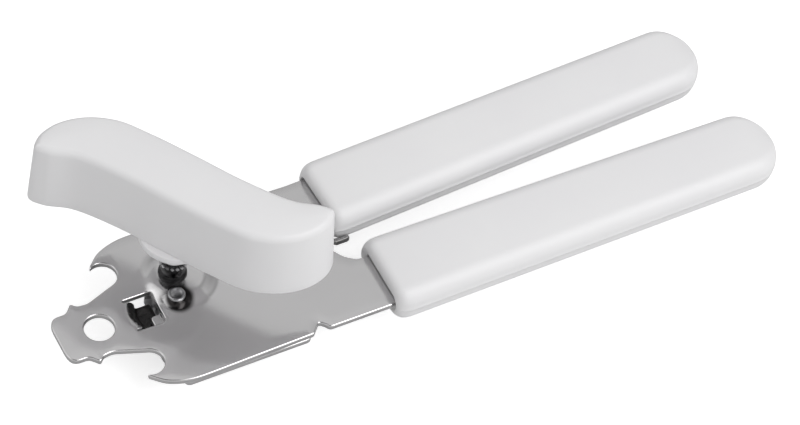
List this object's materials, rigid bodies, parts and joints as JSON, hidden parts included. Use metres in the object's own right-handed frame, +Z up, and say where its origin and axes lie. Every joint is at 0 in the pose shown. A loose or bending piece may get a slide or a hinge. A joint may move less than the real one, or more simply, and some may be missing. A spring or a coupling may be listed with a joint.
{
  "type": "manual can opener",
  "caption": "Hand-held can opener: two plated levers with plastic grips, a crank knob, a geared feed wheel and cutting wheel, and a nose that opens crown caps and hangs on a hook.",
  "frame": {"origin": "centre of the drive shaft's lower end face, which is the lowest point of the opener", "axes": "+Z up the drive shaft to the knob, +X from the wheels to the handles, +Y to the side of the lower lever's grip"},
  "size_m": [0.1777, 0.0548, 0.0513],
  "materials": {
    "white_plastic": "smooth satin moulding",
    "plated_steel": "nickel or chrome plating with bright bevelled edges",
    "turned_steel": "turned and plated",
    "hardened_steel": "ground and hardened"
  },
  "bodies": {
    "upper_lever_body": {"upper_lever": "plated_steel", "upper_grip": "white_plastic", "pivot_bushing": "turned_steel", "bushing_rivet": "turned_steel", "lever_retaining_ring": "turned_steel"},
    "lower_lever_body": {"lower_lever": "plated_steel", "lower_grip": "white_plastic", "cutter_axle": "turned_steel", "cutter_screw": "turned_steel"},
    "cutter_body": {"cutter_gear": "hardened_steel", "cutter_spacer": "turned_steel", "cutter_wheel": "hardened_steel"},
    "crank_body": {"crank_knob": "white_plastic", "drive_shaft": "turned_steel", "toothed_washer": "turned_steel", "thrust_washer": "turned_steel", "drive_gear": "hardened_steel", "feed_wheel": "hardened_steel", "lock_washer": "turned_steel", "end_nut": "turned_steel"}
  },
  "joints": [
    {"name": "handle_open", "type": "hinge", "parent": "upper_lever_body", "child": "lower_lever_body", "pos_m": [0.0052, 0, 0.0119], "axis": [0, 0, 1], "range_deg": [0, 45]},
    {"name": "crank_spin", "type": "hinge", "parent": "upper_lever_body", "child": "crank_body", "pos_m": [0, 0, 0.01], "axis": [0, 0, 1], "continuous": true},
    {"name": "cutter_spin", "type": "hinge", "parent": "lower_lever_body", "child": "cutter_body", "pos_m": [0, -0.013, 0.0081], "axis": [0, 0, 1], "continuous": true}
  ],
  "couplings": [
    {"joint": "cutter_spin", "follows": "crank_spin", "ratio": -0.85714}
  ]
}
